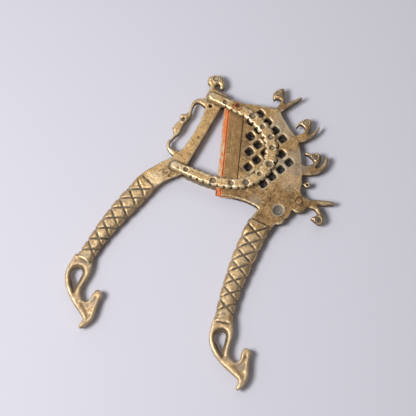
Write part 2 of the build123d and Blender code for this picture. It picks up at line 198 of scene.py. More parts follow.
class CutterStage(bpy.types.PropertyGroup):
    """Floor, lamps and camera."""

    floor: paint("Floor", "Colour of the paper floor", tone(216, 215, 225))
    elevation: FloatProperty(name="Camera elevation", description="Camera angle above the floor",
                             default=math.radians(75), unit="ROTATION", subtype="ANGLE")
    distance: FloatProperty(name="Camera distance", description="From the camera to what it looks at",
                            default=0.9, unit="LENGTH", subtype="DISTANCE")
    width: FloatProperty(name="Field width", description="Width of the field at that distance",
                         default=0.2496, unit="LENGTH", subtype="DISTANCE")
    key: FloatProperty(name="Key lamp", description="Power of the lamp on the left",
                       default=6.1, unit="POWER")
    sky: FloatProperty(name="Sky", description="Strength of the even light all round", default=0.27,
                       min=0, max=2)


# ---- surface work -------------------------------------------------------------------
def lumps(points, size, seed):
    """Smooth value noise in -1..1 with the given cell size in metres."""
    p = points / size + seed * 17.31
    cell = np.floor(p).astype(np.int64)
    part = p - cell
    part = part * part * (3 - 2 * part)
    total = np.zeros(len(p))
    for corner in range(8):
        step = np.array([(corner >> k) & 1 for k in range(3)])
        c = cell + step
        # large odd numbers scramble the cell's corner into an even spread of values
        h = (c[:, 0] * 73856093 ^ c[:, 1] * 19349663 ^ c[:, 2] * 83492791) & 0x7FFFFFFF
        h = (h * 1103515245 + 12345) & 0x7FFFFFFF
        value = ((h >> 8) & 0xFFFF) / 32767.5 - 1
        total += value * np.prod(np.where(step, part, 1 - part), axis=1)
    return total


def ease(value, low, high):
    """Smooth step from 0 at low to 1 at high."""
    t = np.clip((value - low) / (high - low), 0, 1)
    return t * t * (3 - 2 * t)


def between(value, low, full, fall, high):
    """Rises from 0 at low to 1 at full, stays there and falls back between fall and high."""
    return ease(value, low, full) * (1 - ease(value, fall, high))


def hump(value, width):
    """Soft bump that is 1 where the value is 0 and dies away over the width."""
    return np.exp(-(value / width) ** 2)


class Skin:
    """A fine mesh worked on with arrays, then written back with its masks, painted light among them."""

    def __init__(self, name, nodes, body, grid, fill=(), lean=0.0):
        mesh = bpy.data.meshes.new(name)
        shape = bmesh.new()
        for node in (*nodes, *fill):
            shape.from_mesh(bpy.data.objects[node].data)
        shape.to_mesh(mesh)
        shape.free()
        self.piece = bpy.data.objects.new(name, mesh)
        bpy.context.scene.collection.objects.link(self.piece)
        voxels = self.piece.modifiers.new("cast", "REMESH")
        voxels.mode, voxels.voxel_size, voxels.use_smooth_shade = "VOXEL", grid, True
        held = self.piece.evaluated_get(bpy.context.evaluated_depsgraph_get())
        self.mesh = bpy.data.meshes.new_from_object(held)
        self.piece.modifiers.clear()
        self.piece.data = self.mesh
        self.mesh.materials.clear()
        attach(self.piece, body)
        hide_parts(*nodes)
        self.lean = lean
        self.at = np.empty(len(self.mesh.vertices) * 3)
        self.mesh.vertices.foreach_get("co", self.at)
        self.at = self.at.reshape(-1, 3)
        ends = np.empty(len(self.mesh.edges) * 2, dtype=np.int64)
        self.mesh.edges.foreach_get("vertices", ends)
        self.a, self.b = ends.reshape(-1, 2).T
        self.links = np.bincount(ends, minlength=len(self.at)).clip(1)

    def spread(self, value, rounds=1):
        """Blurs a value over the surface."""
        value = np.array(value, dtype=float)
        columns = value.reshape(len(self.at), -1)
        for _ in range(rounds):
            for k in range(columns.shape[1]):
                c = columns[:, k]
                total = np.bincount(self.a, c[self.b], len(c)) + np.bincount(self.b, c[self.a], len(c))
                columns[:, k] = c + 0.5 * (total / self.links - c)
        return value

    def soften(self, rounds):
        """Rounds off every edge, the more the more rounds."""
        self.at = self.spread(self.at, rounds)

    def out(self):
        """Outward normals."""
        self.mesh.vertices.foreach_set("co", self.at.ravel())
        self.mesh.update()
        n = np.empty(len(self.at) * 3, dtype=np.float32)
        self.mesh.vertex_normals.foreach_get("vector", n)
        return n.reshape(-1, 3).astype(float)

    def push(self, height):
        """Moves the surface outwards by a height in metres at each vertex."""
        self.at = self.at + self.out() * np.asarray(height)[:, None]

    def roughen(self, seed):
        """Raises the soft lumps of a casting."""
        height = lumps(self.at, 5 * MM, seed) + 0.5 * lumps(self.at, 1.8 * MM, seed + 1) - 0.6
        self.push(bpy.context.scene.cutter_metal.unevenness * height)

    def rim(self):
        """Distance in mm from each vertex to the nearest upright wall."""
        walls = np.flatnonzero(np.abs(self.out()[:, 2]) < 0.5)
        tree = KDTree(len(walls))
        for k in walls:
            tree.insert(self.at[k], k)
        tree.balance()
        return np.array([tree.find(p)[2] for p in self.at]) / MM

    def thin(self, share):
        """Draws the faces towards the middle by a share of their height."""
        self.at[:, 2] += (MID - self.at[:, 2]) * share

    def dome(self, edges, birds):
        """Rounds the faces down to their arrises: a little all round, and further in on the birds."""
        rim = self.rim()
        self.thin(edges * np.clip(1 - rim / 1.2, 0, 1) ** 2 + birds * np.clip(1 - rim / 1.8, 0, 1) ** 2)

    def round_grip(self, run, x, y, half, taper, grip):
        """Rounds a grip across; half is half its width in mm at the root, taper what it loses."""
        beside = follow(run, x, y)[1] / (half - taper * ease(-y, 85, 125))
        self.thin(0.34 * np.abs(beside).clip(0, 1.1) ** 2.4 * grip)

    def lever(self):
        """Coordinates in mm across and along the lever, which leans clockwise from +Y."""
        x, y, z = (self.at / MM).T
        c, s = math.cos(self.lean), math.sin(self.lean)
        return x * c - y * s, x * s + y * c, z

    def shift(self, px, py):
        """Moves the vertices by distances in mm across and along the lever."""
        c, s = math.cos(self.lean), math.sin(self.lean)
        self.at[:, 0] += (px * c + py * s) * MM
        self.at[:, 1] += (-px * s + py * c) * MM

    def mask(self, name, value):
        """Stores a value from 0 to 1 at each vertex for the material to read."""
        layer = self.mesh.attributes.new(name, "FLOAT", "POINT")
        layer.data.foreach_set("value", np.clip(value, 0, 1).astype(np.float32))

    def weather(self, sides, extra, spared, rubbed, bright):
        """Masks of rubbed arrises and of dirt in hollows, from how far the surface stands proud.

        Sides is painted shade on upright walls, partly real soiling, extra adds to the dark mask, spared and
        rubbed thin out the dark mask and the rubbed arrises, and bright is metal handled all over, with
        painted highlight on a few patches. The hollows are kept for a film of patina.
        """
        n = self.out()
        near = ((self.spread(self.at, 10) - self.at) * n).sum(1) / MM
        far = ((self.spread(self.at, 60) - self.at) * n).sum(1) / MM
        wear = ease(-near, 0.018, 0.09) * (0.7 + 0.5 * lumps(self.at, 1.6 * MM, 3))
        dirt = np.maximum(ease(near, 0.006, 0.055), ease(far, 0.03, 0.22))
        dirt = dirt * (0.85 + 0.3 * lumps(self.at, 1.1 * MM, 5))
        # painted shade on upright walls, partly real soiling, laid in the dark colour through the dark mask
        walls = sides * ease(1 - np.abs(n[:, 2]), 0.45, 0.9) * (0.85 + 0.35 * lumps(self.at, 2.0 * MM, 15))
        self.hollow = 0.80 * ease(near, 0.0, 0.06)
        self.mask("wear", self.spread(np.maximum(wear * rubbed, bright), 1))
        dirt = np.maximum(dirt, walls) * (1 - spared)
        self.mask("dirt", self.spread(np.maximum(dirt, extra), 1))

    def eyes(self, x, y, z, spots):
        """Shallow punched eyes, each in a raised ring; gives the mask of their pale floors."""
        lift, floors = np.zeros(len(x)), np.zeros(len(x))
        side = np.sign(z - MID / MM)
        depth = np.abs(z - MID / MM)
        for ex, ey, radius in spots:
            d = np.hypot(x - ex, y - ey)
            inside = 1 - ease(d, radius * 0.8, radius * 1.1)
            lift += inside * np.clip(2.3 - depth, 0, 1.4) * (depth > 0.6)
            floors = np.maximum(floors, between(d, radius * 0.25, radius * 0.45, radius * 0.9, radius * 1.2))
            lift += 0.22 * hump(d - radius - 0.45, 0.4) * (depth > 2.0)
        self.at[:, 2] += side * lift * MM
        return floors * (depth > 0.6)

    def end_bird(self, x, y, z, neck, turn, softened):
        """Softens the end bird, swells the inside of its loop and gives its mask, for painted shade there.
        """
        c, s = math.cos(turn), math.sin(turn)
        u, v = (x - neck[0]) * c + (y - neck[1]) * s, (y - neck[1]) * c - (x - neck[0]) * s
        worn = softened * (1 - 0.5 * ease(-v, 33.0, 37.0))
        self.at += worn[:, None] * (self.spread(self.at, 7) - self.at)
        # the loop's middle line runs from 7.5 to 19.5 mm below the neck and leans by a tenth
        du = -0.1 * (v + 13.5).clip(-6.0, 6.0) - u
        dv = v.clip(-19.5, -7.5) - v
        away = np.hypot(du, dv)
        depth = np.abs(z - MID / MM)
        inside = (1 - ease(away, 3.4, 4.8)) * (1 - ease(depth, 0.8, 2.1))
        inside = 1.3 * inside / away.clip(1.3)
        self.shift((du * c - dv * s) * inside, (du * s + dv * c) * inside)
        return (1 - ease(away, 3.6, 5.0)) * (1 - ease(depth, 1.5, 2.3))

    def finish(self, material):
        """Keeps the piece a hair inside the solids' box and gives it its metal."""
        self.at = np.clip(self.at, np.array(CAD_BOX[0]) + HAIR, np.array(CAD_BOX[1]) - HAIR)
        self.mesh.vertices.foreach_set("co", self.at.ravel())
        self.mesh.update()
        self.mesh.shade_smooth()
        self.mesh.materials.append(material)


def patch(x, y, spots):
    """Soft round patches given as (x, y, radius, strength)."""
    total = np.zeros(len(x))
    for px, py, radius, strength in spots:
        total = np.maximum(total, strength * (1 - ease(np.hypot(x - px, y - py), radius * 0.5, radius)))
    return total


def follow(points, x, y):
    """How far along a smooth line through the points each place lies, how far beside it, and its length."""
    p = np.array([points[0], *points, points[-1]], dtype=float)
    t = np.linspace(0, 1, 24, endpoint=False)[:, None]
    rows = []
    for a, b, c, d in zip(p, p[1:], p[2:], p[3:]):
        rows.append(0.5 * (2 * b + (c - a) * t + (2 * a - 5 * b + 4 * c - d) * t ** 2
                           + (3 * b - a - 3 * c + d) * t ** 3))
    line = np.vstack([*rows, p[-1:]])
    steps = np.diff(line, axis=0)
    reach = np.concatenate([[0], np.cumsum(np.hypot(*steps.T))])
    best = np.full(len(x), np.inf)
    along, beside = np.zeros(len(x)), np.zeros(len(x))
    for k, (step, start) in enumerate(zip(steps, line)):
        size = np.hypot(*step)
        share = np.clip(((x - start[0]) * step[0] + (y - start[1]) * step[1]) / size ** 2, 0, 1)
        dx, dy = x - start[0] - share * step[0], y - start[1] - share * step[1]
        d = np.hypot(dx, dy)
        near = d < best
        best[near] = d[near]
        along[near] = (reach[k] + share * size)[near]
        beside[near] = (np.sign(step[0] * dy - step[1] * dx) * d)[near]
    return along, beside, reach[-1]


def from_hole(x, y):
    """Distance from the nearest lattice hole's middle, square fashion, and the way to it, in mm."""
    grid = np.array([LATTICE_A, LATTICE_B], dtype=float).T
    i, j = np.linalg.solve(grid, np.array([x - LATTICE_AT[0], y - LATTICE_AT[1]]))
    row, column = np.rint(i), np.rint(j)
    away = np.maximum(np.abs(i - row), np.abs(j - column)) * np.hypot(*LATTICE_A)
    real = np.zeros(len(x), dtype=bool)
    for k, (first, stop) in LATTICE_ROWS.items():
        real |= (row == k) & (column >= first) & (column < stop)
    px = LATTICE_AT[0] + row * LATTICE_A[0] + column * LATTICE_B[0] - x
    py = LATTICE_AT[1] + row * LATTICE_A[1] + column * LATTICE_B[1] - y
    size = np.hypot(px, py).clip(0.2)
    return np.where(real, away, NO_HOLE), px / size, py / size


# ---- shader groups and materials ----------------------------------------------------
COLOUR, NUMBER = "NodeSocketColor", "NodeSocketFloat"


def new_group(name, inputs, outputs):
    """A shader group with sockets listed by kind; gives it with its input and its output node."""
    tree = bpy.data.node_groups.new(name, "ShaderNodeTree")
    for way, sockets in (("INPUT", inputs), ("OUTPUT", outputs)):
        for kind, labels in sockets.items():
            for label in labels:
                tree.interface.new_socket(label, in_out=way, socket_type=kind)
    return tree, tree.nodes.new("NodeGroupInput"), tree.nodes.new("NodeGroupOutput")


def wire(tree, value, socket):
    """Links a socket to another, or sets it to a plain value."""
    if isinstance(value, bpy.types.NodeSocket):
        tree.links.new(value, socket)
    elif value is not None:
        socket.default_value = value


def sums(tree, how, first, second, third=None):
    """One step of arithmetic, named as Blender names it."""
    node = tree.nodes.new("ShaderNodeMath")
    node.operation = how
    for socket, value in zip(node.inputs, (first, second, third)):
        wire(tree, value, socket)
    return node.outputs[0]


def times(tree, first, second):
    return sums(tree, "MULTIPLY", first, second)


def less(tree, first, second):
    return sums(tree, "SUBTRACT", first, second)


def fade(tree, value, low, high, bottom=0.0, top=1.0):
    """Goes smoothly from bottom to top as the value goes from low to high."""
    node = tree.nodes.new("ShaderNodeMapRange")
    node.interpolation_type = "SMOOTHSTEP"
    for socket, v in zip(node.inputs, (value, low, high, bottom, top)):
        wire(tree, v, socket)
    return node.outputs[0]


def blend(tree, share, first, second):
    """Mixes two colours; a share of 1 is all of the second."""
    node = tree.nodes.new("ShaderNodeMix")
    node.data_type = "RGBA"
    wire(tree, share, node.inputs[0])
    wire(tree, first, node.inputs[6])
    wire(tree, second, node.inputs[7])
    return node.outputs[2]


def lever_frame(tree, lean):
    """The object's own coordinates, turned so that Y runs up a lever that leans clockwise."""
    place = tree.nodes.new("ShaderNodeTexCoord").outputs["Object"]
    turned = tree.nodes.new("ShaderNodeMapping")
    turned.inputs["Rotation"].default_value = (0, 0, lean)
    wire(tree, place, turned.inputs["Vector"])
    return turned.outputs[0]


def speckle(tree, cells, detail=2.0, rough=0.5, place=None, stretch=None):
    """Noise with a cell count per metre, on the object's own coordinates unless told otherwise."""
    place = place or tree.nodes.new("ShaderNodeTexCoord").outputs["Object"]
    if stretch:
        mapping = tree.nodes.new("ShaderNodeMapping")
        mapping.inputs["Scale"].default_value = stretch
        wire(tree, place, mapping.inputs["Vector"])
        place = mapping.outputs[0]
    noise = tree.nodes.new("ShaderNodeTexNoise")
    noise.inputs["Scale"].default_value = cells
    noise.inputs["Detail"].default_value = detail
    noise.inputs["Roughness"].default_value = rough
    wire(tree, place, noise.inputs["Vector"])
    return noise.outputs["Fac"]


def colour_of(value):
    return (*value, 1.0)


def tarnish_group():
    """Brass that is bright on its arrises, dull in its flats, dirty and grey where sheltered."""
    tree, given, made = new_group(
        "tarnish",
        {COLOUR: ("Brass", "Worn", "Dull", "Dirt", "Patina"),
         NUMBER: ("Wear Mask", "Dirt Mask", "Patina Mask", "Handled Mask", "Gloss")},
        {COLOUR: ("Color",), NUMBER: ("Roughness", "Metallic")})
    g = {s.name: s for s in given.outputs}
    broad, mid, fine = speckle(tree, 120, 3), speckle(tree, 430, 4, 0.62), speckle(tree, 1500, 3, 0.6)
    pale = fade(tree, speckle(tree, 620, 4, 0.65), 0.52, 0.70)
    tired = sums(tree, "ADD", times(tree, broad, 0.55), times(tree, mid, 0.45))
    tired = less(tree, tired, sums(tree, "MULTIPLY_ADD", g["Handled Mask"], 0.36, -0.18))
    base = blend(tree, fade(tree, tired, 0.38, 0.62), g["Brass"], g["Dull"])
    base = blend(tree, times(tree, pale, 0.30), base, g["Worn"])
    base = blend(tree, fade(tree, fine, 0.51, 0.65, 0.0, 0.80), base, g["Dirt"])
    blotch = fade(tree, speckle(tree, 240, 4, 0.62), 0.52, 0.66, 0.0, 0.55)
    blotch = times(tree, blotch, less(tree, 1.0, g["Handled Mask"]))
    base = blend(tree, blotch, base, g["Dirt"])
    film = times(tree, g["Patina Mask"], fade(tree, mid, 0.30, 0.60, 0.45, 1.0))
    base = blend(tree, film, base, g["Patina"])
    # the bright mask carries rubbed arrises and painted highlight on the bar's shoulder and guard ends
    worn = times(tree, g["Wear Mask"], fade(tree, mid, 0.28, 0.55, 0.35, 1.0))
    base = blend(tree, worn, base, g["Worn"])
    # the dark mask brings real soiling in hollows and painted shade on walls, in holes and in loops
    grime_and_shade = times(tree, g["Dirt Mask"], fade(tree, fine, 0.25, 0.60, 0.80, 1.0))
    base = blend(tree, grime_and_shade, base, g["Dirt"])
    rough = sums(tree, "ADD", fade(tree, mid, 0.3, 0.7, 0.40, 0.56), times(tree, film, 0.22))
    rough = sums(tree, "ADD", rough, times(tree, grime_and_shade, 0.25))
    rough = less(tree, rough, times(tree, worn, 0.08))
    rough = less(tree, rough, g["Gloss"])
    cover = sums(tree, "MAXIMUM", film, grime_and_shade)
    metal = less(tree, 0.9, times(tree, cover, 0.8))
    wire(tree, base, made.inputs["Color"])
    wire(tree, rough, made.inputs["Roughness"])
    wire(tree, metal, made.inputs["Metallic"])
    return tree


def relief_group():
    """Height of a cast and scratched surface: soft lumps, pits and thin scratches."""
    tree, given, made = new_group("cast_relief", {NUMBER: ("Pits",)}, {NUMBER: ("Height",)})
    place = tree.nodes.new("ShaderNodeTexCoord").outputs["Object"]
    soft = speckle(tree, 650, 4, 0.6)
    pits = times(tree, fade(tree, speckle(tree, 1500, 2), 0.56, 0.72), given.outputs["Pits"])
    slanted = lever_frame(tree, 0.7)
    lines = fade(tree, speckle(tree, 90, 2, 0.5, slanted, (1.0, 22.0, 1.0)), 0.60, 0.68)
    more = fade(tree, speckle(tree, 70, 2, 0.5, place, (26.0, 1.0, 1.0)), 0.62, 0.70)
    lines = sums(tree, "MAXIMUM", lines, more)
    height = less(tree, times(tree, soft, 1.3), times(tree, pits, 0.8))
    wire(tree, less(tree, height, times(tree, lines, 0.15)), made.inputs["Height"])
    return tree


def rust_group():
    """Rusted steel: orange film, dark scale and worn pale patches."""
    tree, given, made = new_group(
        "rusted",
        {COLOUR: ("Rust", "Scale", "Bare"), NUMBER: ("Bare Mask", "Scale Mask")},
        {COLOUR: ("Color",), NUMBER: ("Roughness", "Height")})
    g = {s.name: s for s in given.outputs}
    mid, fine = speckle(tree, 500, 4, rough=0.62), speckle(tree, 1900, 3)
    base = blend(tree, fade(tree, fine, 0.45, 0.7, 0.0, 0.55), g["Rust"], g["Scale"])
    base = blend(tree, fade(tree, speckle(tree, 260, 3), 0.5, 0.68, 0.0, 0.28), base, g["Bare"])
    bare = times(tree, g["Bare Mask"], fade(tree, mid, 0.42, 0.56))
    base = blend(tree, bare, base, g["Bare"])
    # this mask also lays painted shadow at the foot of the blade's edge
    scale = times(tree, g["Scale Mask"], fade(tree, mid, 0.30, 0.60, 0.6, 1.0))
    base = blend(tree, scale, base, g["Scale"])
    wire(tree, base, made.inputs["Color"])
    wire(tree, fade(tree, mid, 0.3, 0.7, 0.62, 0.85), made.inputs["Roughness"])
    wire(tree, sums(tree, "ADD", times(tree, fine, 0.5), mid), made.inputs["Height"])
    return tree


def place_group(tree, name, maker, values):
    """A node that uses a shader group, which is made the first time it is wanted."""
    node = tree.nodes.new("ShaderNodeGroup")
    node.node_tree = bpy.data.node_groups.get(name) or maker()
    for label, value in values.items():
        wire(tree, value, node.inputs[label])
    return node


def mask_of(tree, name):
    """A mask that was stored on the mesh."""
    node = tree.nodes.new("ShaderNodeAttribute")
    node.attribute_name = name
    return node.outputs["Fac"]


def bump(tree, shader, height, strength, depth):
    """Tilts the shading by a height."""
    node = tree.nodes.new("ShaderNodeBump")
    node.inputs["Strength"].default_value = strength
    node.inputs["Distance"].default_value = depth
    wire(tree, height, node.inputs["Height"])
    wire(tree, node.outputs[0], shader.inputs["Normal"])


def bare_material(name):
    """A new material, with its tree and its shader."""
    material = bpy.data.materials.new(name)
    material.use_nodes = True
    tree = material.node_tree
    return material, tree, tree.nodes["Principled BSDF"]


def band(tree, value, low, high, soft):
    """1 between low and high, falling off softly outside; the three are in mm."""
    rise = fade(tree, value, (low - soft) * MM, low * MM)
    return times(tree, rise, fade(tree, value, high * MM, (high + soft) * MM, 1.0, 0.0))


def brushed_strip(tree, lean, colour, height, dull, dirt):
    """Filed strip beside the blade: long strokes, duller metal and a scribed line down its far side."""
    local = lever_frame(tree, lean)
    split = tree.nodes.new("ShaderNodeSeparateXYZ")
    wire(tree, local, split.inputs[0])
    x, y, _ = split.outputs
    within = times(tree, band(tree, x, *STRIP_SIDES, 0.3), band(tree, y, *STRIP_ENDS, 1.0))
    strokes = speckle(tree, 60, 5, 0.75, local, (34.0, 1.3, 1.0))
    fine = speckle(tree, 150, 4, 0.7, local, (30.0, 1.0, 1.0))
    shade = times(tree, fade(tree, strokes, 0.36, 0.60, 0.25, 0.95), within)
    colour = blend(tree, shade, colour, dull)
    dark = times(tree, fade(tree, fine, 0.5, 0.66, 0.0, 0.55), within)
    colour = blend(tree, dark, colour, dirt)
    line = times(tree, band(tree, x, *LINE_SIDES, 0.22), band(tree, y, *LINE_ENDS, 2.0))
    colour = blend(tree, times(tree, line, 0.85), colour, dirt)
    cut = times(tree, less(tree, fine, line), within)
    return colour, sums(tree, "ADD", height, less(tree, cut, line))


def scribed_ring(tree, lean, colour, height, dirt):
    """Ring cut into the lobe of the plate beside the round recess."""
    place = tree.nodes.new("ShaderNodeVectorMath")
    place.operation = "DISTANCE"
    wire(tree, lever_frame(tree, lean), place.inputs[0])
    place.inputs[1].default_value = (RING_AT[0] * MM, RING_AT[1] * MM, MID + RING_RAISED * MM)
    away = place.outputs["Value"]
    cut = band(tree, away, *RING_CUT, 0.45)
    colour = blend(tree, times(tree, cut, 0.38), colour, dirt)
    return colour, less(tree, height, times(tree, cut, 1.6))


def brass_material(name, gloss=0.0, pits=1.0, brushed=False, stained=None):
    """Worn cast brass; gloss smooths it, pits deepens its pits, brushed adds the filed strip and the
    scribed ring beside the blade, and stained is the colour of a rust film.
    """
    metal = bpy.context.scene.cutter_metal
    material, tree, shader = bare_material(name)
    given = {coat.title(): colour_of(getattr(metal, coat))
             for coat in ("brass", "worn", "dull", "dirt", "patina")}
    for mask in ("wear", "dirt", "patina", "handled"):
        given[mask.title() + " Mask"] = mask_of(tree, mask)
    look = place_group(tree, "tarnish", tarnish_group, {**given, "Gloss": gloss})
    colour = look.outputs["Color"]
    relief = place_group(tree, "cast_relief", relief_group, {"Pits": pits})
    height = relief.outputs["Height"]
    if brushed:
        lean, dirt = metal.blade_lean, given["Dirt"]
        colour, height = brushed_strip(tree, lean, colour, height, given["Dull"], dirt)
        colour, height = scribed_ring(tree, lean, colour, height, dirt)
    if stained:
        uneven = sums(tree, "MULTIPLY_ADD", speckle(tree, 800, 4), 0.9, mask_of(tree, "stain"))
        colour = blend(tree, fade(tree, uneven, 0.84, 1.10), colour, colour_of(stained))
    wire(tree, colour, shader.inputs["Base Color"])
    wire(tree, look.outputs["Roughness"], shader.inputs["Roughness"])
    wire(tree, look.outputs["Metallic"], shader.inputs["Metallic"])
    bump(tree, shader, height, 0.8, 0.15 * MM)
    return material


def rust_material(name, metallic, bare, film=None):
    """Rusted steel or iron; bare is its rubbed colour and film its rust, the blade's unless given."""
    metal = bpy.context.scene.cutter_metal
    material, tree, shader = bare_material(name)
    look = place_group(tree, "rusted", rust_group, {
        "Rust": colour_of(film or metal.rust), "Scale": colour_of(metal.scale), "Bare": colour_of(bare),
        "Bare Mask": mask_of(tree, "bare"), "Scale Mask": mask_of(tree, "scale")})
    wire(tree, look.outputs["Color"], shader.inputs["Base Color"])
    wire(tree, look.outputs["Roughness"], shader.inputs["Roughness"])
    shader.inputs["Metallic"].default_value = metallic
    bump(tree, shader, look.outputs["Height"], 0.6, 0.12 * MM)
    return material


# ---- pieces -------------------------------------------------------------------------
def lever_masks(y, root, joint):
    """Masks of the grip, of the end bird, and of that bird without its neck."""
    grip = between(-y, root, root + 4, joint, joint + 1.5)
    return grip, ease(-y, joint, joint + 2.5), ease(-y, joint + 3, joint + 5)


class CUTTER_OT_bar_lever(bpy.types.Operator):
    """Casts the bar lever with its bird's head, bracket, diamond grip and end bird"""

    bl_idname = "cutter.bar_lever"
    bl_label = "Bar Lever"

    def execute(self, context):
        metal = context.scene.cutter_metal
        skin = Skin("bar_lever_cast", ["bar_lever"], BAR, metal.grain, GUARD_PINS, metal.bar_lean)
        skin.soften(5)
        self.boss(skin)
        x, y, z = skin.lever()
        grip, end, end_bird = lever_masks(y, BAR_GRIP_ROOT, BAR_JOINT)
        head = ease(y, 3.5, 5.5)
        bracket = ease(-x, 16.5, 18.0) * ease(y, -48.0, -45.0)
        skin.dome(0.12, 0.20 * np.maximum(end_bird, head) + 0.12 * bracket)
        skin.round_grip(BAR_GRIP, x, y, *BAR_GRIP_WIDE, grip)
        eyes = skin.eyes(x, y, z, BAR_EYES)
        skin.roughen(1)
        # the inside of the end bird's loop gets painted shade
        loop_shade = skin.end_bird(x, y, z, BAR_NECK, math.radians(10), ease(-y, BAR_JOINT - 3, BAR_JOINT))
        stamp = patch(x, y, [BAR_STAMP]) * ease(lumps(skin.at, 0.55 * MM, 51), -0.3, 0.3)
        marks = patch(x, y, BAR_MARKS)
        # painted shade with some real soiling on the bar along the guard's edges
        beside_guard = 1 - ease(np.abs(follow(GUARD_RUN, x, y)[1]), 3.6, 4.8)
        guard_shade_and_soil = 0.9 * beside_guard * (0.7 + 0.4 * lumps(skin.at, 2 * MM, 53))
        skin.weather(sides=0.95,
                     extra=np.maximum.reduce([0.8 * loop_shade, 0.95 * stamp, guard_shade_and_soil, marks]),
                     spared=np.maximum(0.05 * grip, 0.6 * end),
                     rubbed=1 - 0.5 * grip - 0.45 * end,
                     bright=np.maximum(patch(x, y, [SHOULDER_HIGHLIGHT_AND_RUB]), 0.16 * grip))
        film = patch(x, y, BAR_FILM)
        skin.mask("patina", np.maximum.reduce([film, 0.42 * eyes, 0.28 * end, grip * skin.hollow,
                                               0.14 * grip]))
        skin.mask("handled", 0.85 - 0.25 * ease(-y, 68, 80) + patch(x, y, [SHOULDER_HANDLED_AND_HIGHLIGHT]))
        skin.finish(brass_material("bar_brass", pits=0.6))
        return {"FINISHED"}

    def boss(self, skin):
        """Rounds the bracket's eyed boss and squares the knob below it."""
        x, y, _ = skin.lever()
        du, dv = x - BRACKET_BOSS[0], y - BRACKET_BOSS[1]
        d = np.hypot(du, dv).clip(0.1)
        fuller = 0.60 * hump(d - 2.4, 0.9) * ease(-du, -0.9, 0.5)
        skin.shift(fuller * du / d, fuller * dv / d)
        outer = ease(-x, 25.2, 26.4)
        above, below = patch(x, y, [KNOB_ABOVE]) * outer, patch(x, y, [KNOB_BELOW]) * outer
        skin.shift(-0.7 * above - 0.6 * below, -0.4 * below)


class CUTTER_OT_blade_lever(bpy.types.Operator):
    """Casts the blade lever with its lattice plate, peacocks, diamond grip and end bird"""

    bl_idname = "cutter.blade_lever"
    bl_label = "Blade Lever"

    def execute(self, context):
        metal = context.scene.cutter_metal
        skin = Skin("blade_lever_cast", ["blade_lever"], BLADE, metal.grain, BLADE_PINS, metal.blade_lean)
        skin.soften(5)
        x, y, z = skin.lever()
        away, px, py = from_hole(x, y)
        depth = np.abs(z - MID / MM)
        grip, end, end_bird = lever_masks(y, BLADE_GRIP_ROOT, BLADE_JOINT)
        perched = self.perched(x, y)
        skin.dome(0.10, 0.18 * np.maximum(end_bird, perched))
        skin.round_grip(BLADE_GRIP, x, y, *BLADE_GRIP_WIDE, grip)
        caked = (away < HOLE_HALF + 0.3) * (1 - ease(depth, 1.0, 2.0))
        caked = 0.95 * (caked * (0.75 + 0.25 * lumps(skin.at, 1.2 * MM, 41)))
        skin.shift(caked * px, caked * py)
        eyes = skin.eyes(x, y, z, BLADE_EYES)
        skin.roughen(6)
        # the inside of the end bird's loop gets painted shade
        loop_shade = skin.end_bird(x, y, z, BLADE_NECK, 0.0, ease(-y, BLADE_JOINT - 3, BLADE_JOINT))
        stamp = patch(x, y, [BLADE_STAMP]) * ease(lumps(skin.at, 0.9 * MM, 52), -0.3, 0.3)
        scored = patch(x, y, [RECESS_SCORES]) * ease(lumps(skin.at, 0.8 * MM, 54), -0.2, 0.3)
        # painted shade down the walls of the lattice holes, laid through the dark mask
        hole_shade = (away < HOLE_HALF + 0.35) * (1 - ease(depth, 1.6, 2.2))
        lips = 1 - ease(away, HOLE_HALF + 0.8, HOLE_HALF + 1.6)
        rubbed = 1 - 0.4 * patch(x, y, [PLATE_FOOT]) - 0.3 * perched - 0.5 * grip - 0.30 * end
        skin.weather(sides=0.95,
                     extra=np.maximum.reduce([hole_shade, 0.8 * loop_shade, 0.8 * stamp, scored,
                                              patch(x, y, SHADED_EYES)]),
                     spared=np.maximum.reduce([0.05 * grip, 0.5 * ease(-y, 146, 150),
                                               patch(x, y, [RECESS_SPARED])]),
                     rubbed=rubbed - 0.5 * lips,
                     bright=0.16 * grip)
        strip = between(x, -5.6, -5.0, 4.0, 4.6) * ease(y, -57.0, -56.0)
        rims = patch(x, y, PLATE_SHELTER) * (1 - ease(away, HOLE_HALF + 0.3, HOLE_HALF + 1.1))
        rims = rims * ease(depth, 1.9, 2.3)
        film = np.maximum.reduce([rims, 0.42 * eyes, patch(x, y, PLATE_FILM), grip * skin.hollow,
                                  0.14 * grip, 0.28 * end])
        skin.mask("patina", film * (1 - 0.7 * strip))
        skin.mask("handled", 0.52 - 0.22 * ease(-y, 44, 56) + 0.05 * strip + 0.35 * ease(-y, 70, 80)
                  - 0.3 * perched)
        skin.mask("stain", 1.2 * between(x, -6.0, -5.4, -4.5, -4.0) * ease(y, -58, -56))
        skin.finish(brass_material("blade_lever_brass", brushed=True, stained=RUST_FILM))
        return {"FINISHED"}

    def perched(self, x, y):
        """Mask of the four peacocks, which stand outside the plate's round rim."""
        top, right = y > 1.5, x > 43.5
        outside = (np.hypot(x - 6, y + 26) > 41.5) & (y > -20)
        return (x > 20) & (y > -70) & (top | right | outside)


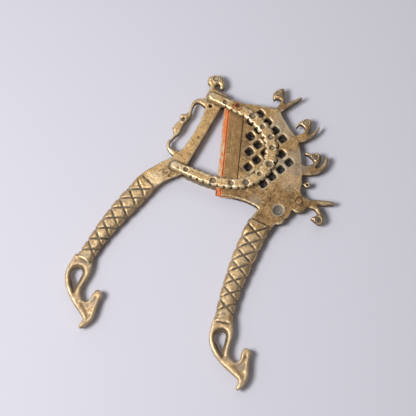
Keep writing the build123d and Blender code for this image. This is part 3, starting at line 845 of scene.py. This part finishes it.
class CUTTER_OT_guards(bpy.types.Operator):
    """Casts the two scalloped and punched horseshoe guards"""

    bl_idname = "cutter.guards"
    bl_label = "Horseshoe Guards"

    def execute(self, context):
        metal = context.scene.cutter_metal
        brass = brass_material("guard_brass", pits=1.5, stained=RUST_ON_GUARD)
        # the last value darkens the guard's cheeks: partly real soiling, partly painted shade
        for node, outer, sides, caked in (("front_guard", TOP, 0.9, 1.0), ("back_guard", 0.0, 0.5, 0.62)):
            skin = Skin(node + "_cast", [node], BAR, metal.grain, GUARD_PINS, metal.bar_lean)
            skin.soften(3)
            x, y, z = skin.lever()
            dents, filed = self.bead(skin, x, y, z, outer / MM)
            height = lumps(skin.at, 2.8 * MM, 8) + 0.6 * lumps(skin.at, 1.3 * MM, 9) - 0.8
            skin.push(metal.unevenness * 1.2 * height)
            away = np.abs(z - outer / MM)
            cheek = ease(away, 1.0, 2.2)
            flat = (1 - cheek) * (1 - dents) * ease(lumps(skin.at, 2.6 * MM, 23), -0.9, 0.4)
            skin.weather(sides, extra=np.maximum(caked * cheek, filed), spared=0.40 * dents,
                         rubbed=1.2 - 0.9 * cheek,
                         bright=np.maximum(patch(x, y, GUARD_END_HIGHLIGHT_AND_RUB), 0.14 * flat))
            film = np.maximum(0.5 * ease(away, 1.2, 2.2), 0.65 * dents)
            skin.mask("patina", np.maximum(film, patch(x, y, [GUARD_FILM])))
            skin.mask("handled", 0.97 + 0.3 * lumps(skin.at, 9 * MM, 14))
            skin.mask("stain", 0.55 * (1 - ease(np.hypot(x, y), 2.6, 5.0)))
            skin.finish(brass)
        return {"FINISHED"}

    def bead(self, skin, x, y, z, outer):
        """Domes the outer face, punches its marks and files notches across both arrises.

        Gives the masks of the marks and of the filed cuts.
        """
        along, beside, length = follow(GUARD_RUN, x, y)
        front = outer > MID / MM
        half = GUARD_HALF + GUARD_SWELL * hump(along / length - 0.42, 0.2)
        share = np.clip(np.abs(beside) / half, 0, 1.1)
        face = 1 - ease(np.abs(z - outer), 0.8, 2.6)
        turn = (along - PLAIN_END) / NOTCH_PITCH
        place = np.rint(turn)
        real = (place >= 0) & (place <= int((length - 2 * PLAIN_END) / NOTCH_PITCH))
        off = (turn - place) * NOTCH_PITCH + 0.3 * lumps(skin.at, 4 * MM, 21)
        notch = hump(off, NOTCH_FACE) * ease(share, 0.58, 0.92) * real
        dents = np.zeros(len(x))
        for mx, my, radius in GUARD_MARKS:
            d = np.hypot(x - mx, y - my) / radius
            dents = np.maximum(dents, np.clip(1 - d ** 2, 0, 1) ** 0.5 * radius / FULL_MARK)
        plain = 1 - ease(along, PLAIN_END - 3, PLAIN_END) * ease(length - along, PLAIN_END - 3, PLAIN_END)
        drop = (0.45 * share ** 6 + 0.75 * plain * share ** 4 + 1.75 * notch) * (1 - ease(dents, 0.0, 0.4))
        drop = (drop + 0.50 * dents) * face
        skin.at[:, 2] -= (1 if front else -1) * drop * MM
        # the way out from the middle line, from how the distance beside it grows over a short step
        step = 0.6
        px = follow(GUARD_RUN, x + step, y)[1] - beside
        py = follow(GUARD_RUN, x, y + step)[1] - beside
        gap = hump(off, NOTCH_SIDE) * real
        swell = 0.24 * (1 - plain) * (1 - gap) + (0.05 if front else 0.85) * gap
        swell = swell * ease(share, 0.5, 0.95) * np.sign(beside) / np.hypot(px, py).clip(0.2)
        skin.shift(px * swell, py * swell)
        filed = 0.9 * ease(notch, 0.25, 0.7) * (1 - ease(np.abs(z - outer), 0.6, 2.2))
        return ease(dents, 0.15, 0.6), filed


class CUTTER_OT_blade(bpy.types.Operator):
    """Forges the rusted steel blade with its nicked edge"""

    bl_idname = "cutter.blade"
    bl_label = "Steel Blade"

    def execute(self, context):
        metal = context.scene.cutter_metal
        skin = Skin("cutting_blade_steel", ["cutting_blade"], BLADE, metal.grain * 0.8,
                    lean=metal.blade_lean)
        skin.soften(2)
        x, y, _ = skin.lever()
        up_the_edge = np.column_stack([y, y * 0, y * 0]) * MM
        nick = ease(-x, 6.4, 7.9) * (0.25 + between(-y, 12, 20, 38, 44))
        nick = nick * (0.4 + 0.6 * lumps(up_the_edge, 1.5 * MM, 31))
        skin.shift(0.45 * nick, 0.0)
        skin.push(metal.unevenness * (lumps(skin.at, 2.2 * MM, 11) - 1))
        ground = 0.75 * ease(-x, 6.6, 7.6) * (1 - ease(-y, 50.0, 53.0))
        lower = 1.2 * between(-y, 16.0, 30.0, 50.0, 53.0) * ease(-x, 4.9, 6.0)
        skin.mask("bare", lower + ground)
        # the dark band along the foot of the edge is painted shadow of the guard; elsewhere a thin real film
        skin.mask("scale", np.maximum(0.9 * ease(-y, 52.0, 54.0) * ease(-x, 6.9, 7.5), 0.10))
        skin.finish(rust_material("blade_rust", 0.15, BARE_STEEL))
        return {"FINISHED"}


class CUTTER_OT_pivot(bpy.types.Operator):
    """Sets the iron pivot rivet and its roves"""

    bl_idname = "cutter.pivot"
    bl_label = "Iron Pivot"

    def execute(self, context):
        metal = context.scene.cutter_metal
        head = rust_material("pivot_iron", 0.4, metal.dull, HEAD_RUST)
        washer = rust_material("rove_iron", 0.7, metal.brass, ROVE_RUST)
        for node, look, core in (("pivot_rivet", head, True), ("pivot_rove_front", washer, False),
                                 ("pivot_rove_back", washer, False)):
            skin = Skin(node + "_iron", [node], BAR, IRON_GRAIN)
            skin.soften(4)
            out = np.hypot(skin.at[:, 0], skin.at[:, 1]) / MM
            rust = ease(lumps(skin.at, 1.3 * MM, 17), -0.1, 0.5)
            skin.mask("scale", core * (1 - ease(out, 0.9, 1.6)) + 0.25 * rust)
            skin.mask("bare", 1.6 * (ease(out, 1.1, 1.8) if core else 1.0) * (1 - 0.8 * rust))
            skin.finish(look)
        return {"FINISHED"}


class CUTTER_OT_pins(bpy.types.Operator):
    """Drives the brass pins and files their ends flush with the worn faces"""

    bl_idname = "cutter.pins"
    bl_label = "Flush Pins"

    def execute(self, context):
        brass = brass_material("pin_brass", gloss=0.04)
        for node in GUARD_PINS:
            self.drive(context, node, BAR, brass)
        for node in BLADE_PINS:
            self.drive(context, node, BLADE, brass)
        return {"FINISHED"}

    def drive(self, context, node, body, brass):
        """Copies a pin, a little shorter, onto its body."""
        mesh = bpy.data.objects[node].data.copy()
        low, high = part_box(node)
        short = 1 - PIN_FILED / (high.z - low.z)
        for v in mesh.vertices:
            v.co.z = MID + (v.co.z - MID) * short
        mesh.materials.clear()
        mesh.materials.append(brass)
        pin = bpy.data.objects.new(node + "_pin", mesh)
        context.scene.collection.objects.link(pin)
        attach(pin, body)
        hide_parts(node)


# ---- stage --------------------------------------------------------------------------
# where the lamps and the camera are aimed
LAMPS_AT, CAMERA_AT = Vector((-0.018, -0.063, 0.0)), Vector((-0.0179, -0.0629, 0.006))


class CUTTER_OT_stage(bpy.types.Operator):
    """Lays the paper floor, hangs the lamps and stands the camera"""

    bl_idname = "cutter.stage"
    bl_label = "Stage"

    def execute(self, context):
        stage = context.scene.cutter_stage
        self.floor(stage)
        self.lamps(context, stage)
        self.camera(context, stage)
        context.scene.view_settings.view_transform = "Standard"
        return {"FINISHED"}

    def floor(self, stage):
        """Paper with a faint fibre."""
        mesh = bpy.data.meshes.new("paper")
        shape = bmesh.new()
        bmesh.ops.create_grid(shape, x_segments=8, y_segments=8, size=1.5)
        shape.to_mesh(mesh)
        shape.free()
        paper = bpy.data.objects.new("paper", mesh)
        bpy.context.scene.collection.objects.link(paper)
        material, tree, shader = bare_material("paper")
        fibre = speckle(tree, 900, 4)
        dark = colour_of([c * 0.97 for c in stage.floor])
        wire(tree, blend(tree, fibre, colour_of(stage.floor), dark), shader.inputs["Base Color"])
        shader.inputs["Roughness"].default_value = 0.9
        shader.inputs["Specular IOR Level"].default_value = 0.2
        mesh.materials.append(material)

    def lamps(self, context, stage):
        """A room brighter on its left, the key lamp there and a weak, broad one above the far side."""
        world = bpy.data.worlds.new("room")
        world.use_nodes = True
        tree = world.node_tree
        back = tree.nodes["Background"]
        side = tree.nodes.new("ShaderNodeSeparateXYZ")
        wire(tree, tree.nodes.new("ShaderNodeTexCoord").outputs["Generated"], side.inputs[0])
        wall = fade(tree, side.outputs[0], -1.0, 0.7, 1.60, 0.30)
        back.inputs["Color"].default_value = (1.0, 0.985, 0.97, 1)
        wire(tree, times(tree, wall, stage.sky), back.inputs["Strength"])
        context.scene.world = world
        for name, place, size, power, colour in (
                ("key", (-0.42, -0.20, 0.74), 0.28, stage.key, (1.0, 0.99, 1.0)),
                ("ceiling", (0.10, 0.50, 0.85), 0.5, stage.key * 0.13, (1.0, 0.98, 0.96))):
            data = bpy.data.lights.new(name, "AREA")
            data.size, data.energy, data.color = size, power, colour
            lamp = bpy.data.objects.new(name, data)
            lamp.location = place
            lamp.rotation_euler = (Vector(place) - LAMPS_AT).to_track_quat("Z", "Y").to_euler()
            context.scene.collection.objects.link(lamp)

    def camera(self, context, stage):
        """Stands on the side of -Y and looks down at the cutter."""
        data = bpy.data.cameras.new("camera")
        camera = bpy.data.objects.new("camera", data)
        data.lens = data.sensor_width * stage.distance / stage.width
        data.clip_start, data.clip_end = 0.05, 10
        back = Vector((0, -math.cos(stage.elevation), math.sin(stage.elevation)))
        camera.location = CAMERA_AT + back * stage.distance
        camera.rotation_euler = back.to_track_quat("Z", "Y").to_euler()
        context.scene.collection.objects.link(camera)
        context.scene.camera = camera


# ---- panel and running --------------------------------------------------------------
PIECES = (CUTTER_OT_bar_lever, CUTTER_OT_blade_lever, CUTTER_OT_guards, CUTTER_OT_blade, CUTTER_OT_pivot,
          CUTTER_OT_pins, CUTTER_OT_stage)


class CUTTER_PT_panel(bpy.types.Panel):
    """Lists the cutter's settings and pieces"""

    bl_idname = "CUTTER_PT_panel"
    bl_label = "Nut Cutter"
    bl_space_type = "VIEW_3D"
    bl_region_type = "UI"
    bl_category = "Nut Cutter"

    def draw(self, context):
        for group in (context.scene.cutter_metal, context.scene.cutter_stage):
            box = self.layout.box()
            for name in group.__annotations__:
                box.prop(group, name)
        for piece in PIECES:
            self.layout.operator(piece.bl_idname)


CLASSES = (CutterMetal, CutterStage, *PIECES, CUTTER_PT_panel)


def register():
    for cls in CLASSES:
        bpy.utils.register_class(cls)
    bpy.types.Scene.cutter_metal = PointerProperty(type=CutterMetal)
    bpy.types.Scene.cutter_stage = PointerProperty(type=CutterStage)


def unregister():
    del bpy.types.Scene.cutter_stage
    del bpy.types.Scene.cutter_metal
    for cls in reversed(CLASSES):
        bpy.utils.unregister_class(cls)


def main():
    register()
    for piece in PIECES:
        group, name = piece.bl_idname.split(".")
        getattr(getattr(bpy.ops, group), name)()


if __name__ == "__main__":
    main()
